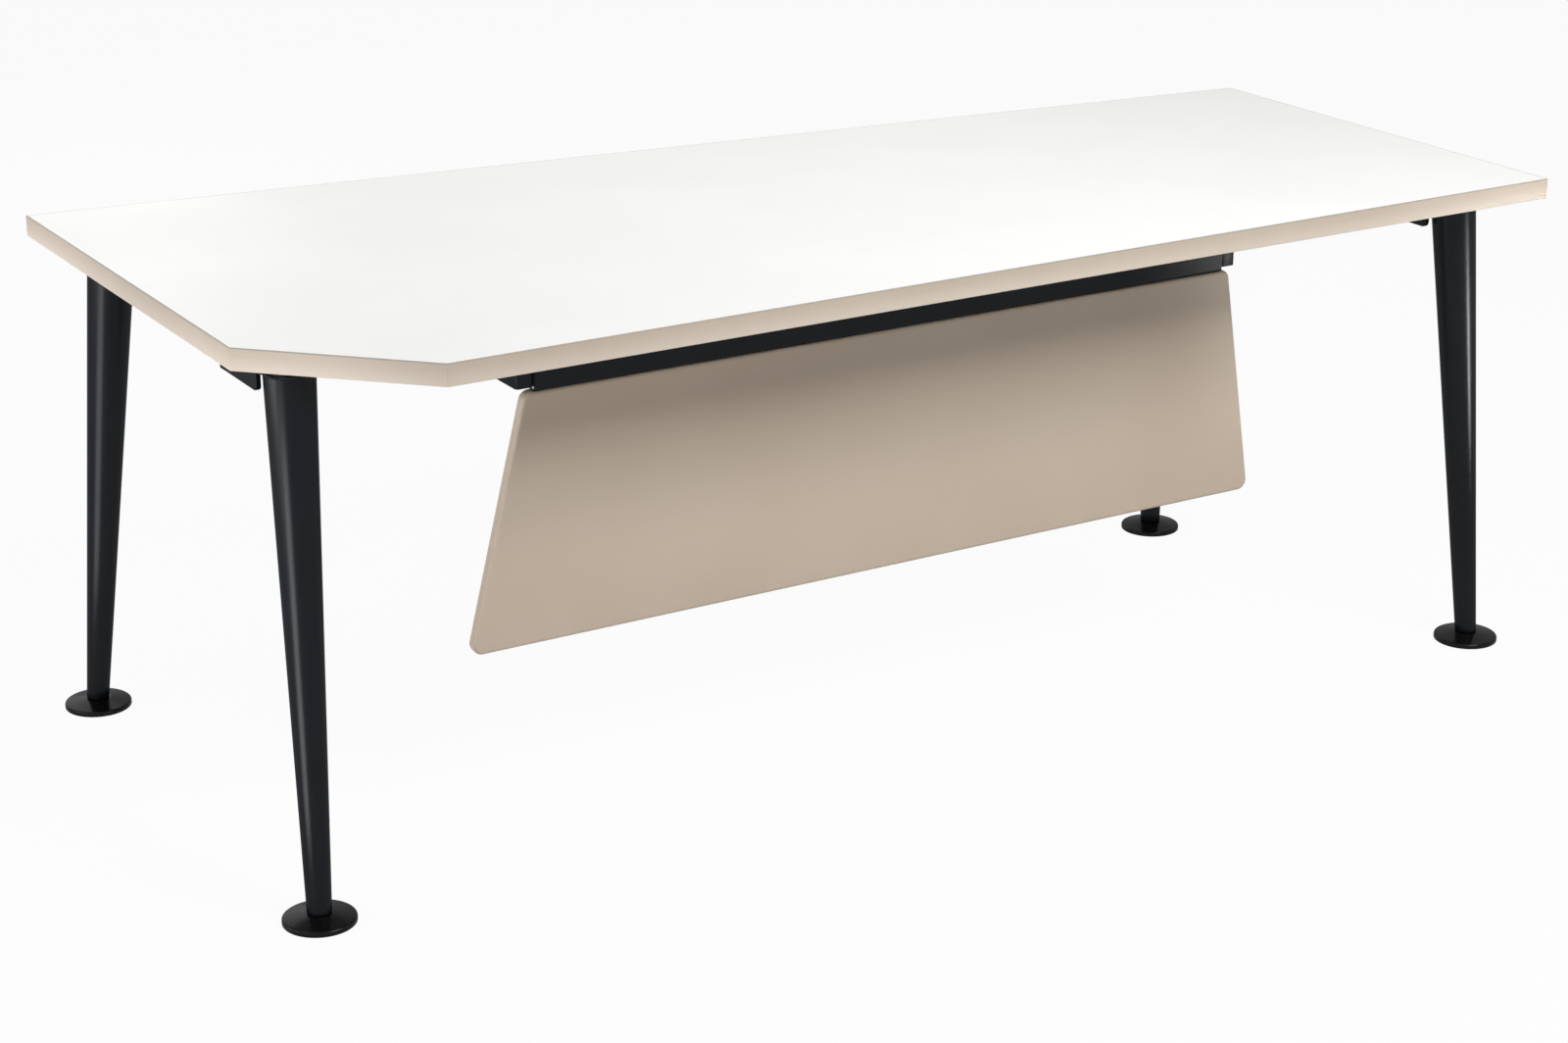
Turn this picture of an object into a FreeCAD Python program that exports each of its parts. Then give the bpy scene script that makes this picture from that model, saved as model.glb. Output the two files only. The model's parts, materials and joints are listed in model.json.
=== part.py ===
import FreeCAD, Part
import math
import os

V = FreeCAD.Vector
UP = V(0, 0, 1)
ALONG = V(1, 0, 0)

os.makedirs("parts", exist_ok=True)

# Executive desk, millimetres. The sizes below are set out from the point where the
# straight front (visitor) edge and the left edge of the top would meet at floor level:
# +X runs along the front edge, +Y towards the sitting side, +Z up.

# Top board
desk_height = 740.0
top_length = 2000.0
left_depth = 960.0
right_depth = 745.0
corner_cut = 200.0
top_thickness = 30.0
laminate_thickness = 0.8
band_thickness = 2.0
band_round = 1.0

# Legs: tapered tubes, each leaning out from its head to its foot
leg_top_d = 67.0
leg_bottom_d = 32.4
leg_wall = 2.0
leg_foot_gap = 0.4
left_lean = 53.5
right_lean = 48.0
cut_leg_lean_x = 39.2
cut_leg_lean_y = 97.4
cut_leg_inset = 36.3
left_foot_inset = 31.0
back_left_foot_inset = 56.0
right_foot_inset = 48.0
front_right_foot_inset = 48.0
back_right_foot_inset = 160.0
back_right_foot_y = 709.0

# Leg brackets: plate under the top with one downturned rib
plate_thickness = 5.0
bracket_width = 80.0
bracket_length = 132.0
rib_thickness = 7.0
rib_start = 12.0
rib_drop_cut_leg = 30.0
rib_drop = 50.0
rib_round = 8.0
bracket_screw_x = 22.0
bracket_screw_near = 52.0
bracket_screw_far = 112.0

# Levelling feet
pad_d = 97.0
pad_clear_of_floor = 0.4
pad_rim_height = 8.0
pad_rim_round = 3.0
pad_foot_round = 0.6
pad_hub_d = 37.0
pad_hub_height = 13.0
sole_d = 84.0
sole_thickness = 2.0
sole_hole_d = 12.0
stud_d = 10.0
stud_reach = 37.0
stud_head_d = 18.0
stud_head_height = 3.4
stud_end_chamfer = 1.0
hex_key = 5.0
hex_key_depth = 2.2
insert_height = 46.0
bore_spare = 2.0

# Modesty panel with its rail and hangers
panel_setback = 223.5
panel_tilt = 3.84
panel_top_width = 1173.0
panel_bottom_width = 1330.0
panel_height = 366.5
panel_thickness = 18.0
panel_corner_round = 15.0
panel_edge_round = 5.0
panel_drop = 103.7
rail_height = 40.0
rail_depth = 30.0
rail_wall = 2.5
rail_round = 4.0
plug_length = 25.0
hanger_width = 26.5
hanger_depth = 62.0
hanger_behind = 2.0
hanger_drop = 97.7
hanger_wall = 3.0
hanger_flange = 30.0
hanger_screw_pitch = 30.0
panel_screw_count = 4
panel_screw_pitch = 310.0

# Fasteners
wood_screw_d = 5.0
wood_screw_bite = 22.0
wood_screw_head_d = 9.5
wood_screw_head_height = 2.8
panel_screw_d = 6.0
panel_screw_bite = 38.0
panel_screw_head_d = 11.0
panel_screw_head_height = 3.2
driver_hole_d = 13.0
rail_bolt_d = 8.0
rail_bolt_bite = 20.0
rail_bolt_head_d = 13.0
rail_bolt_head_height = 5.3

# Clearances
running_clearance = 0.05
free_clearance = 0.3
slip_clearance = 0.1
same_place = 1e-6

underside = desk_height - top_thickness
plate_bottom = underside - plate_thickness
leg_end = pad_hub_height + leg_foot_gap
pad_r = pad_d / 2
centre_x = top_length / 2

# The part's own origin: middle of the footprint, on the floor
footprint_left = min(0.0, left_foot_inset - pad_r)
footprint_front = min(0.0, front_right_foot_inset - pad_r)
ORIGIN = V((footprint_left + top_length) / 2, (footprint_front + left_depth) / 2, 0)


def save(name, shape):
    """Writes one sub-part, moved into the part's own frame."""
    placed = shape.copy()
    placed.translate(-ORIGIN)
    placed.exportStep("parts/" + name + ".step")


def prism(points, z, height):
    """Upright prism on a closed outline of (x, y) points."""
    corners = [V(x, y, z) for x, y in points]
    face = Part.Face(Part.makePolygon(corners + corners[:1]))
    return face.extrude(V(0, 0, height))


def inset(points, distance):
    """The outline moved inwards by a distance; points run anticlockwise."""
    moved = []
    count = len(points)
    for i in range(count):
        before = V(*points[i - 1])
        here = V(*points[i])
        after = V(*points[(i + 1) % count])
        a = (here - before).normalize()
        b = (after - here).normalize()
        normal_a = V(-a.y, a.x, 0)
        normal_b = V(-b.y, b.x, 0)
        bisector = normal_a + normal_b
        corner = here + bisector * (2 * distance / bisector.dot(bisector))
        moved.append((corner.x, corner.y))
    return moved


def rounded_outline(points, radius, place):
    """Closed wire on (u, v) points with an arc of one radius at each corner."""
    edges = []
    starts = []
    ends = []
    middles = []
    count = len(points)
    for i in range(count):
        here = V(*points[i])
        to_before = (V(*points[i - 1]) - here).normalize()
        to_after = (V(*points[(i + 1) % count]) - here).normalize()
        half = to_before.getAngle(to_after) / 2
        reach = radius / math.tan(half)
        inward = (to_before + to_after).normalize()
        starts.append(here + to_before * reach)
        ends.append(here + to_after * reach)
        middles.append(here + inward * (radius / math.sin(half) - radius))
    for i in range(count):
        following = (i + 1) % count
        edges.append(Part.Arc(place(starts[i]), place(middles[i]), place(ends[i])).toShape())
        edges.append(Part.makeLine(place(ends[i]), place(starts[following])))
    return Part.Wire(edges)


def cylinder(diameter, length, base, direction=UP):
    return Part.makeCylinder(diameter / 2, length, base, direction)


# Outline of the top, anticlockwise seen from above
outline = [
    (corner_cut, 0.0),
    (top_length, 0.0),
    (top_length, right_depth),
    (0.0, left_depth),
    (0.0, corner_cut),
]
edge_names = ["front", "right", "back", "left", "corner"]
board_outline = inset(outline, band_thickness)


def leg_places():
    """Foot and head of each leg on plan, which way its bracket points, and its rib."""
    head_x = left_foot_inset + cut_leg_lean_x
    head_y = corner_cut - head_x + cut_leg_inset * math.sqrt(2)
    cut_head = V(head_x, head_y, 0)
    cut_foot = cut_head - V(cut_leg_lean_x, cut_leg_lean_y, 0)
    back_left = V(left_foot_inset, left_depth - back_left_foot_inset, 0)
    front_right = V(top_length - right_foot_inset, front_right_foot_inset, 0)
    back_right = V(top_length - back_right_foot_inset, back_right_foot_y, 0)
    return {
        "back_left": (back_left, back_left + V(left_lean, -left_lean, 0), -1, rib_drop),
        "front_left": (cut_foot, cut_head, 1, rib_drop_cut_leg),
        "front_right": (front_right, front_right + V(-right_lean, right_lean, 0), 1, rib_drop),
        "back_right": (back_right, back_right + V(-right_lean, -right_lean, 0), -1, rib_drop),
    }


def leg_cone(foot, head, skin, low, high):
    """The leg's taper, a skin thickness inside its outer face, cut level at two heights."""
    start = foot + V(0, 0, leg_end)
    end = head + V(0, 0, underside)
    run = end - start
    length = run.Length
    axis = run / length
    spare = leg_top_d
    slope = (leg_top_d - leg_bottom_d) / 2 / length
    low_r = leg_bottom_d / 2 - skin - slope * spare
    high_r = leg_top_d / 2 - skin + slope * spare
    cone = Part.makeCone(low_r, high_r, length + 2 * spare, start - axis * spare, axis)
    reach = run.x ** 2 + run.y ** 2
    side = 2 * math.sqrt(reach) + 4 * leg_top_d
    slab = Part.makeBox(side, side, high - low, V(foot.x - side / 2, foot.y - side / 2, low))
    return cone.common(slab)


def leg_tube(foot, head):
    outer = leg_cone(foot, head, 0.0, leg_end, plate_bottom)
    return outer.cut(leg_cone(foot, head, leg_wall, leg_end, plate_bottom))


def leg_insert(foot, head):
    """Plug in the leg's lower end, with the upright hole for the foot's stud."""
    plug = leg_cone(foot, head, leg_wall + slip_clearance, leg_end, leg_end + insert_height)
    depth = stud_reach + bore_spare
    hole = cylinder(stud_d + 2 * running_clearance, depth, foot + V(0, 0, leg_end))
    return plug.cut(hole)


def bracket_screw_spots(head, way):
    spots = []
    for y in (bracket_screw_near, bracket_screw_far):
        for x in (-bracket_screw_x, bracket_screw_x):
            spots.append(head + V(way * x, way * y, 0))
    return spots


def leg_bracket(head, way, drop):
    """Plate around the leg's head with a tail, and a rib down one long side of the tail."""
    half = bracket_width / 2
    plate = Part.makeBox(bracket_width, bracket_length, plate_thickness, V(-half, 0, -plate_thickness))
    nose = cylinder(leg_top_d, plate_thickness, V(0, 0, -plate_thickness))
    low = -drop
    toe = V(-half, rib_start, low + rib_round)
    bend = rib_round * (1 - math.sqrt(0.5))
    edges = [
        Part.makeLine(V(-half, rib_start, -plate_thickness), toe),
        Part.Arc(
            toe,
            V(-half, rib_start + bend, low + bend),
            V(-half, rib_start + rib_round, low),
        ).toShape(),
        Part.makeLine(V(-half, rib_start + rib_round, low), V(-half, bracket_length, low)),
        Part.makeLine(V(-half, bracket_length, low), V(-half, bracket_length, -plate_thickness)),
        Part.makeLine(
            V(-half, bracket_length, -plate_thickness),
            V(-half, rib_start, -plate_thickness),
        ),
    ]
    rib = Part.Face(Part.Wire(edges)).extrude(ALONG * rib_thickness)
    bracket = plate.fuse([nose, rib]).removeSplitter()
    if way < 0:
        bracket.rotate(V(0, 0, 0), UP, 180)
    bracket.translate(head + V(0, 0, underside))
    hole_d = wood_screw_d + 2 * free_clearance
    for spot in bracket_screw_spots(head, way):
        bracket = bracket.cut(cylinder(hole_d, plate_thickness, spot + V(0, 0, plate_bottom)))
    return bracket


def wood_screw(spot, seat):
    """Pan-head screw driven upwards, its head against the seat height."""
    low = seat - wood_screw_head_height
    head = cylinder(wood_screw_head_d, wood_screw_head_height, spot + V(0, 0, low))
    rim = [e for e in head.Edges if abs(e.BoundBox.ZMax - low) < same_place]
    head = head.makeFillet(wood_screw_head_height / 2, rim)
    top = underside + wood_screw_bite
    shank = cylinder(wood_screw_d, top - seat, spot + V(0, 0, seat))
    return head.fuse(shank)


def pilot_hole(spot):
    """Hole that a wood screw fills in the board and its backing sheet."""
    depth = wood_screw_bite + slip_clearance
    return cylinder(wood_screw_d + 2 * running_clearance, depth, spot + V(0, 0, underside))


def tangent_from(point, centre, radius):
    """Where the upper tangent from a point meets a circle, in (r, z)."""
    to_centre = centre - point
    angle = math.atan2(to_centre.z, to_centre.x) + math.asin(radius / to_centre.Length)
    return centre + V(-math.sin(angle), 0, math.cos(angle)) * radius


def foot_pad():
    """Low conical disc with a rounded rim, a hub bore and a pocket for the stud's head."""
    bore_r = stud_d / 2 + running_clearance
    pocket_r = stud_head_d / 2 + free_clearance
    pocket_top = sole_thickness + stud_head_height + 2 * free_clearance
    recess_r = sole_d / 2 + slip_clearance
    rim_z = pad_rim_height - pad_rim_round
    rim_centre = V(pad_r - pad_rim_round, 0, rim_z)
    hub_edge = V(pad_hub_d / 2, 0, pad_hub_height)
    rim_start = tangent_from(hub_edge, rim_centre, pad_rim_round)
    rim_end = V(pad_r, 0, rim_z)
    rim_mid = rim_centre + ((rim_start + rim_end) / 2 - rim_centre).normalize() * pad_rim_round
    toe_centre = V(pad_r - pad_foot_round, 0, pad_clear_of_floor + pad_foot_round)
    toe_start = toe_centre + V(pad_foot_round, 0, 0)
    toe_end = toe_centre - V(0, 0, pad_foot_round)
    toe_mid = toe_centre + V(1, 0, -1).normalize() * pad_foot_round
    corners = [
        toe_end,
        V(recess_r, 0, pad_clear_of_floor),
        V(recess_r, 0, sole_thickness),
        V(pocket_r, 0, sole_thickness),
        V(pocket_r, 0, pocket_top),
        V(bore_r, 0, pocket_top),
        V(bore_r, 0, pad_hub_height),
        hub_edge,
        rim_start,
    ]
    edges = [Part.makeLine(a, b) for a, b in zip(corners, corners[1:])]
    edges.append(Part.Arc(rim_start, rim_mid, rim_end).toShape())
    edges.append(Part.makeLine(rim_end, toe_start))
    edges.append(Part.Arc(toe_start, toe_mid, toe_end).toShape())
    return Part.Face(Part.Wire(edges)).revolve(V(0, 0, 0), UP, 360)


def foot_stud():
    """Levelling screw: captive head in the pad, key socket below, shank up into the leg."""
    head_z = sole_thickness + free_clearance
    shank_z = head_z + stud_head_height
    top = leg_end + stud_reach
    head = cylinder(stud_head_d, stud_head_height, V(0, 0, head_z))
    straight = cylinder(stud_d, top - stud_end_chamfer - shank_z, V(0, 0, shank_z))
    tip_r = stud_d / 2 - stud_end_chamfer
    tip = Part.makeCone(stud_d / 2, tip_r, stud_end_chamfer, V(0, 0, top - stud_end_chamfer))
    across = hex_key / math.sqrt(3)
    hexagon = [
        (across * math.cos(math.radians(60 * i)), across * math.sin(math.radians(60 * i)))
        for i in range(6)
    ]
    return head.fuse([straight, tip]).removeSplitter().cut(prism(hexagon, head_z, hex_key_depth))


def foot_sole():
    disc = cylinder(sole_d, sole_thickness, V(0, 0, 0))
    return disc.cut(cylinder(sole_hole_d, sole_thickness, V(0, 0, 0)))


# Panel frame: origin in the middle of the rail's lower front edge, tilted back about X
panel_origin = V(centre_x, panel_setback, underside - panel_drop)
rail_length = panel_top_width - 2 * panel_corner_round
screw_line = panel_thickness / 2


def into_panel_frame(shape):
    placed = shape.copy()
    placed.rotate(V(0, 0, 0), ALONG, panel_tilt)
    placed.translate(panel_origin)
    return placed


def panel_screw_spots():
    first = -panel_screw_pitch * (panel_screw_count - 1) / 2
    return [V(first + panel_screw_pitch * i, screw_line, 0) for i in range(panel_screw_count)]


def panel_board():
    """Trapezoid board, wider at its foot, with round corners and softened faces."""
    top = panel_top_width / 2
    bottom = panel_bottom_width / 2
    corners = [(-bottom, -panel_height), (bottom, -panel_height), (top, 0.0), (-top, 0.0)]
    wire = rounded_outline(corners, panel_corner_round, lambda p: V(p.x, 0, p.y))
    board = Part.Face(wire).extrude(V(0, panel_thickness, 0))
    rims = [e for e in board.Edges if e.BoundBox.YLength < same_place]
    board = board.makeFillet(panel_edge_round, rims)
    depth = panel_screw_bite + slip_clearance
    for spot in panel_screw_spots():
        board = board.cut(cylinder(panel_screw_d + 2 * running_clearance, depth, spot - V(0, 0, depth)))
    return into_panel_frame(board)


def panel_rail():
    """Rectangular tube along the panel's upper edge, with driver holes in its upper wall."""
    half = rail_length / 2
    tube = Part.makeBox(rail_length, rail_depth, rail_height, V(-half, 0, 0))
    long_edges = [e for e in tube.Edges if abs(e.BoundBox.XLength - rail_length) < same_place]
    tube = tube.makeFillet(rail_round, long_edges)
    inside = Part.makeBox(
        rail_length,
        rail_depth - 2 * rail_wall,
        rail_height - 2 * rail_wall,
        V(-half, rail_wall, rail_wall),
    )
    tube = tube.cut(inside)
    for spot in panel_screw_spots():
        tube = tube.cut(cylinder(panel_screw_d + 2 * free_clearance, rail_wall, spot))
        tube = tube.cut(cylinder(driver_hole_d, rail_wall, spot + V(0, 0, rail_height - rail_wall)))
    return into_panel_frame(tube)


def panel_screw(spot):
    """Screw from inside the rail down into the panel's upper edge."""
    head = cylinder(panel_screw_head_d, panel_screw_head_height, spot + V(0, 0, rail_wall))
    shank = cylinder(panel_screw_d, panel_screw_bite + rail_wall, spot - V(0, 0, panel_screw_bite))
    return into_panel_frame(head.fuse(shank))


def rail_plug(side):
    """Threaded block pressed into one end of the rail."""
    depth = rail_depth - 2 * rail_wall - 2 * slip_clearance
    height = rail_height - 2 * rail_wall - 2 * slip_clearance
    outer = side * rail_length / 2
    start = min(outer, outer - side * plug_length)
    block = Part.makeBox(
        plug_length,
        depth,
        height,
        V(start, rail_wall + slip_clearance, rail_wall + slip_clearance),
    )
    middle = V(outer, rail_depth / 2, rail_height / 2)
    hole_d = rail_bolt_d + 2 * running_clearance
    hole = cylinder(hole_d, rail_bolt_bite + slip_clearance, middle, ALONG * -side)
    return into_panel_frame(block.cut(hole))


def rail_bolt(side):
    """Bolt from inside a hanger, through its inner wall, into the rail's end block."""
    outer = side * (rail_length / 2 + hanger_wall)
    middle = V(outer, rail_depth / 2, rail_height / 2)
    head = cylinder(rail_bolt_head_d, rail_bolt_head_height, middle, ALONG * side)
    shank = cylinder(rail_bolt_d, rail_bolt_bite + hanger_wall, middle, ALONG * -side)
    return into_panel_frame(head.fuse(shank))


hanger_front = panel_setback + hanger_behind


def hanger_screw_spots(side):
    x = centre_x + side * (rail_length / 2 + hanger_width + hanger_flange / 2)
    middle = hanger_front + hanger_depth / 2
    return [V(x, middle + k * hanger_screw_pitch / 2, 0) for k in (-1, 1)]


def rail_hanger(side):
    """Folded box bracket, open at its back, with a flange screwed under the top."""
    inner = centre_x + side * rail_length / 2
    outer = inner + side * hanger_width
    flange_end = outer + side * hanger_flange
    low = underside - hanger_drop
    height = plate_bottom - low
    shell = Part.makeBox(hanger_width, hanger_depth, height, V(min(inner, outer), hanger_front, low))
    pocket = Part.makeBox(
        hanger_width - 2 * hanger_wall,
        hanger_depth - hanger_wall,
        height - hanger_wall,
        V(min(inner, outer) + hanger_wall, hanger_front + hanger_wall, low + hanger_wall),
    )
    flange = Part.makeBox(
        abs(flange_end - inner),
        hanger_depth,
        plate_thickness,
        V(min(inner, flange_end), hanger_front, plate_bottom),
    )
    hanger = shell.cut(pocket).fuse(flange).removeSplitter()
    hole_d = wood_screw_d + 2 * free_clearance
    for spot in hanger_screw_spots(side):
        hanger = hanger.cut(cylinder(hole_d, plate_thickness, spot + V(0, 0, plate_bottom)))
    middle = V(side * rail_length / 2, rail_depth / 2, rail_height / 2)
    bolt_hole = cylinder(rail_bolt_d + 2 * free_clearance, hanger_wall, middle, ALONG * side)
    return hanger.cut(into_panel_frame(bolt_hole))


legs = leg_places()
bracket_spots = [s for foot, head, way, drop in legs.values() for s in bracket_screw_spots(head, way)]
hanger_spots = [s for side in (-1, 1) for s in hanger_screw_spots(side)]
pilots = [pilot_hole(s) for s in bracket_spots + hanger_spots]

# Top board: core, two laminate sheets and a band along each edge
core_thickness = top_thickness - 2 * laminate_thickness
core = prism(board_outline, underside + laminate_thickness, core_thickness)
save("top_core", core.cut(pilots))
save("underside_laminate", prism(board_outline, underside, laminate_thickness).cut(pilots))
save("top_laminate", prism(board_outline, desk_height - laminate_thickness, laminate_thickness))
for i, edge_name in enumerate(edge_names):
    j = (i + 1) % len(outline)
    band = prism([outline[i], outline[j], board_outline[j], board_outline[i]], underside, top_thickness)
    start = V(*outline[i])
    run = V(*outline[j]) - start
    outward = V(run.y, -run.x, 0).normalize()
    outer_edges = []
    for edge in band.Edges:
        ends = [v.Point for v in edge.Vertexes]
        level = abs(ends[0].z - ends[1].z) < same_place
        on_face = all(abs((p - start).dot(outward)) < same_place for p in ends)
        if level and on_face:
            outer_edges.append(edge)
    save("edge_band_" + edge_name, band.makeFillet(band_round, outer_edges))

# Legs, their brackets and levelling feet
pad = foot_pad()
stud = foot_stud()
sole = foot_sole()
for corner, (foot, head, way, drop) in legs.items():
    save("leg_tube_" + corner, leg_tube(foot, head))
    save("leg_insert_" + corner, leg_insert(foot, head))
    save("leg_bracket_" + corner, leg_bracket(head, way, drop))
    for name, piece in (("foot_pad_", pad), ("foot_stud_", stud), ("foot_sole_", sole)):
        standing = piece.copy()
        standing.translate(foot)
        save(name + corner, standing)
save("bracket_screws", Part.makeCompound([wood_screw(s, plate_bottom) for s in bracket_spots]))

# Modesty panel, its rail and its hangers
save("panel_board", panel_board())
save("panel_rail", panel_rail())
save("panel_screws", Part.makeCompound([panel_screw(s) for s in panel_screw_spots()]))
for side, hand in ((-1, "left"), (1, "right")):
    save("rail_plug_" + hand, rail_plug(side))
    save("rail_hanger_" + hand, rail_hanger(side))
save("rail_bolts", Part.makeCompound([rail_bolt(side) for side in (-1, 1)]))
save("hanger_screws", Part.makeCompound([wood_screw(s, plate_bottom) for s in hanger_spots]))
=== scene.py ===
import bmesh
import bpy
import json
import math
import numpy as np
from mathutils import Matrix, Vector


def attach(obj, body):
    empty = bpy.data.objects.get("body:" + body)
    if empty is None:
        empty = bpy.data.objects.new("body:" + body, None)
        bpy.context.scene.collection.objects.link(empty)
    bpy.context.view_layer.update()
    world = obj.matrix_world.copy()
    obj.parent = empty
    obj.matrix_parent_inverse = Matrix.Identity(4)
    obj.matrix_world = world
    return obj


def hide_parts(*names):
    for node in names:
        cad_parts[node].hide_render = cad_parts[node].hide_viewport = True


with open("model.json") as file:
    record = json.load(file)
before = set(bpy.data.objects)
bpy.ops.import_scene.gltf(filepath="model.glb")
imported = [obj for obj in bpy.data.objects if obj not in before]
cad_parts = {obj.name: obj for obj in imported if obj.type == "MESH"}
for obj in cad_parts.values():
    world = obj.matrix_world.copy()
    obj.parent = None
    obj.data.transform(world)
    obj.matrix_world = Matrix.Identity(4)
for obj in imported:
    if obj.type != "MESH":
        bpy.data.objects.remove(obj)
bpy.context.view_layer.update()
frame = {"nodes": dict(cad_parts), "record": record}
nodes = frame["nodes"]
scene = bpy.context.scene
print("frame loaded:", len(nodes), "nodes")


# a socket that can be used in sums: every operation adds one Math node
class Wire:
    def __init__(self, bench, socket):
        self.bench = bench
        self.socket = socket

    def maths(self, operation, first, second):
        return self.bench.node("ShaderNodeMath", {"operation": operation}, {0: first, 1: second})

    def __add__(self, other):
        return self.maths("ADD", self, other)

    def __radd__(self, other):
        return self.maths("ADD", other, self)

    def __sub__(self, other):
        return self.maths("SUBTRACT", self, other)

    def __rsub__(self, other):
        return self.maths("SUBTRACT", other, self)

    def __mul__(self, other):
        return self.maths("MULTIPLY", self, other)

    def __rmul__(self, other):
        return self.maths("MULTIPLY", other, self)


# a node tree and the one way to put a node into it
class Bench:
    def __init__(self, tree):
        self.tree = tree
        tree.nodes.clear()

    # node type, then its own settings, then values or links for its sockets
    def node(self, kind, settings=None, sockets=None, out=0):
        made = self.tree.nodes.new(kind)
        for key, value in (settings or {}).items():
            setattr(made, key, value)
        for key, value in (sockets or {}).items():
            if isinstance(value, Wire):
                self.tree.links.new(value.socket, made.inputs[key])
            else:
                made.inputs[key].default_value = value
        return Wire(self, made.outputs[out]) if made.outputs else None

    # object coordinates, stretched by a scale on each axis
    def place(self, scale=(1, 1, 1)):
        here = self.node("ShaderNodeTexCoord", out="Object")
        return self.node("ShaderNodeMapping", None, {"Vector": here, "Scale": scale})

    def noise(self, vector, scale, detail):
        return self.node("ShaderNodeTexNoise", None, {"Vector": vector, "Scale": scale, "Detail": detail})

    # 0 at low, 1 at high, smooth between and level beyond
    def step(self, value, low, high):
        return self.node("ShaderNodeMapRange", {"interpolation_type": "SMOOTHSTEP"}, {
            "Value": value, "From Min": low, "From Max": high})

    # the Mix node keeps its two colours in sockets 6 and 7 and gives a colour from output 2
    def mix(self, share, first, second):
        return self.node("ShaderNodeMix", {"data_type": "RGBA"}, {0: share, 6: first, 7: second}, out=2)

    def bump(self, height, strength, distance):
        return self.node("ShaderNodeBump", None, {
            "Height": height, "Strength": strength, "Distance": distance})


# colour as read off a picture, 0 to 255, turned into light values by the sRGB curve
def tone(red, green, blue):
    share = np.array((red, green, blue)) / 255
    light = np.where(share <= 0.04045, share / 12.92, ((share + 0.055) / 1.055) ** 2.4)
    return (*light.tolist(), 1.0)


def newFinish(name):
    material = bpy.data.materials.new(name)
    material.use_nodes = True
    return material, Bench(material.node_tree)


# closes a finish: one Principled shader on the material output
def closeFinish(bench, sockets):
    shader = bench.node("ShaderNodeBsdfPrincipled", None, sockets)
    bench.node("ShaderNodeOutputMaterial", None, {"Surface": shader})


# in the finishes a noise is (scale, detail), a step (from, to) and a bump (strength, depth in metres)
# white laminate: faint clouds in the colour and a fine pebbled face
laminate = {"colour": tone(246, 246, 244), "shade": tone(244, 244, 242), "clouds": (5.0, 3.0),
            "cloudStep": (0.35, 0.65), "pebbles": (1300.0, 2.0), "bump": (0.10, 0.0002),
            "rough": 0.36, "roughVary": 0.08, "shine": 0.4}


def whiteLaminate():
    material, bench = newFinish("whiteLaminate")
    here = bench.place()
    cloud = bench.noise(here, *laminate["clouds"])
    pebble = bench.noise(here, *laminate["pebbles"])
    shaded = bench.step(cloud, *laminate["cloudStep"])
    closeFinish(bench, {
        "Base Color": bench.mix(shaded, laminate["colour"], laminate["shade"]),
        "Roughness": laminate["rough"] + laminate["roughVary"] * cloud,
        "Normal": bench.bump(pebble, *laminate["bump"]),
        "Specular IOR Level": laminate["shine"]})
    return material


# backing sheet: pale, with fine darker flecks
backing = {"colour": tone(232, 229, 224), "fleck": tone(218, 214, 207), "flecks": (420.0, 3.0),
           "fleckStep": (0.48, 0.72), "bump": (0.12, 0.0002), "rough": 0.6, "roughVary": 0.1}


def backingSheet():
    material, bench = newFinish("backingSheet")
    fleck = bench.noise(bench.place(), *backing["flecks"])
    flecked = bench.step(fleck, *backing["fleckStep"])
    closeFinish(bench, {
        "Base Color": bench.mix(flecked, backing["colour"], backing["fleck"]),
        "Roughness": backing["rough"] + backing["roughVary"] * fleck,
        "Normal": bench.bump(fleck, *backing["bump"])})
    return material


# the edging is drawn plastic: fine level lines, painted light from the floor that makes it paler low down,
# and the laminate's thin grey edge along its top; the pale and the seam steps are heights in metres
edging = {"colour": tone(193, 179, 164), "streak": tone(188, 173, 157), "pale": tone(208, 196, 182),
          "seam": tone(166, 156, 145), "paintedUnderLightStep": (0.738, 0.708), "seamStep": (0.7378, 0.7389),
          "stretch": (2.5, 2.5, 900), "lines": (1.0, 3.0), "clouds": (9.0, 2.0), "lineShare": 0.5,
          "streakStep": (0.36, 0.64), "bump": (0.06, 0.0002), "rough": 0.42, "roughVary": 0.1, "shine": 0.4}


def creamEdging():
    material, bench = newFinish("creamEdging")
    here = bench.place()
    line = bench.noise(bench.place(edging["stretch"]), *edging["lines"])
    cloud = bench.noise(here, *edging["clouds"])
    height = bench.node("ShaderNodeSeparateXYZ", None, {"Vector": here}, out="Z")
    both = line * edging["lineShare"] + cloud * (1 - edging["lineShare"])
    body = bench.mix(bench.step(both, *edging["streakStep"]), edging["colour"], edging["streak"])
    # painted light: the edging turns paler towards its lower edge, standing in for light thrown up from the
    # floor
    body = bench.mix(bench.step(height, *edging["paintedUnderLightStep"]), body, edging["pale"])
    closeFinish(bench, {
        "Base Color": bench.mix(bench.step(height, *edging["seamStep"]), body, edging["seam"]),
        "Roughness": edging["rough"] + edging["roughVary"] * line,
        "Normal": bench.bump(line, *edging["bump"]),
        "Specular IOR Level": edging["shine"]})
    return material


# raw particle board: flat flakes, each with its own tone
chip = {"pale": tone(196, 164, 120), "dark": tone(128, 92, 58), "stretch": (1, 1, 3), "flakes": 260,
        "bump": (0.3, 0.0005), "rough": 0.8, "roughVary": 0.1}


def chipCore():
    material, bench = newFinish("chipCore")
    flakes = bench.node("ShaderNodeTexVoronoi", {"feature": "F1"}, {
        "Vector": bench.place(chip["stretch"]), "Scale": chip["flakes"]}, out="Color")
    grey = bench.node("ShaderNodeSeparateColor", None, {"Color": flakes})
    closeFinish(bench, {
        "Base Color": bench.mix(grey, chip["pale"], chip["dark"]),
        "Roughness": chip["rough"] + chip["roughVary"] * grey,
        "Normal": bench.bump(grey, *chip["bump"])})
    return material


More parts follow.
